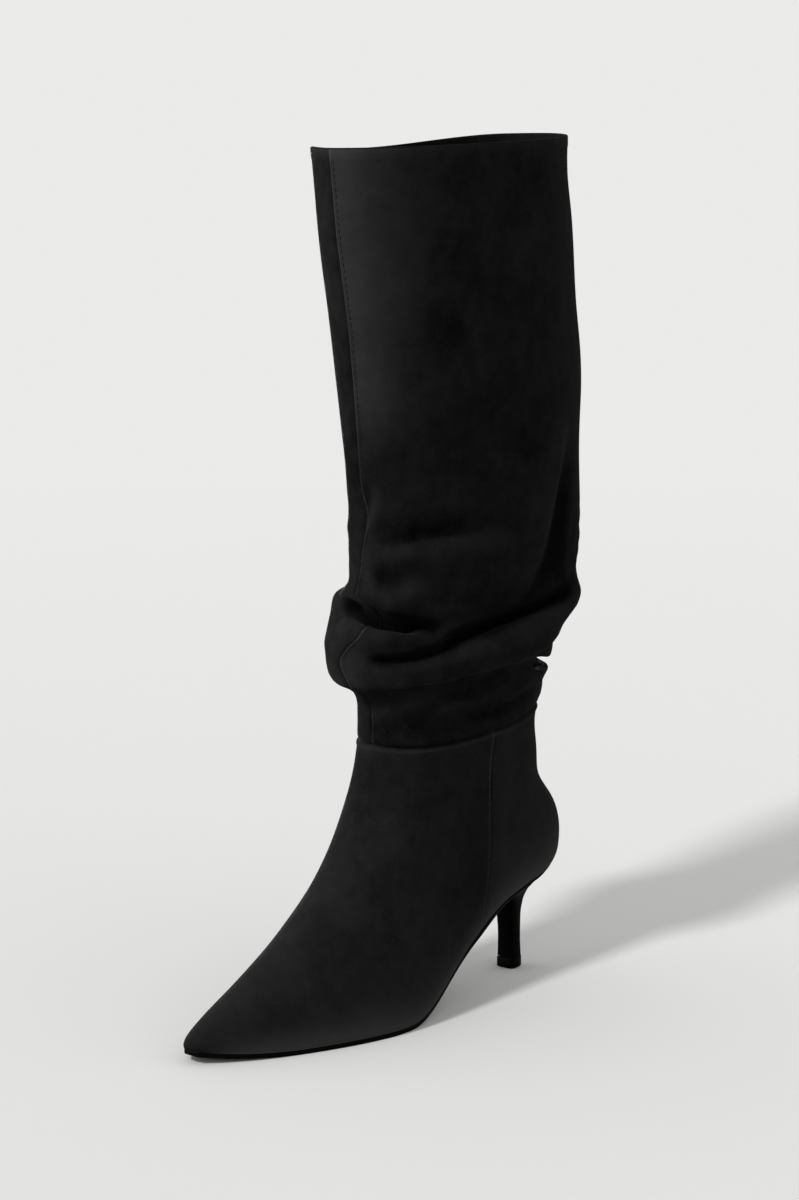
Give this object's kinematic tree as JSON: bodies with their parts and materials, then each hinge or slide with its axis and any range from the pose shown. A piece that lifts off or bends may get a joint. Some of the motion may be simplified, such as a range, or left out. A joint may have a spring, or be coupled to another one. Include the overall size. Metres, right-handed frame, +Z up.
{
  "type": "suede boot",
  "caption": "Slouched knee-high suede boot for the left foot, with a pointed toe and a low slim heel, hollow and open at the collar, standing on its sole.",
  "frame": {"origin": "on the floor, under the middle of the boot's bounding box", "axes": "+X from the heel to the toe, +Y to the wearer's left, the outer side of this boot, +Z up the leg"},
  "size_m": [0.2762, 0.0988, 0.433],
  "materials": {
    "suede": "napped matte black suede",
    "sole": "smooth satin black",
    "lining": "plain black lining",
    "heel_cover": "satin black heel cover"
  },
  "bodies": {
    "root": {"upper": "suede", "shaft": "suede", "outsole": "sole", "insole": "lining", "heel": "heel_cover", "heel_tip": "sole"}
  },
  "joints": []
}
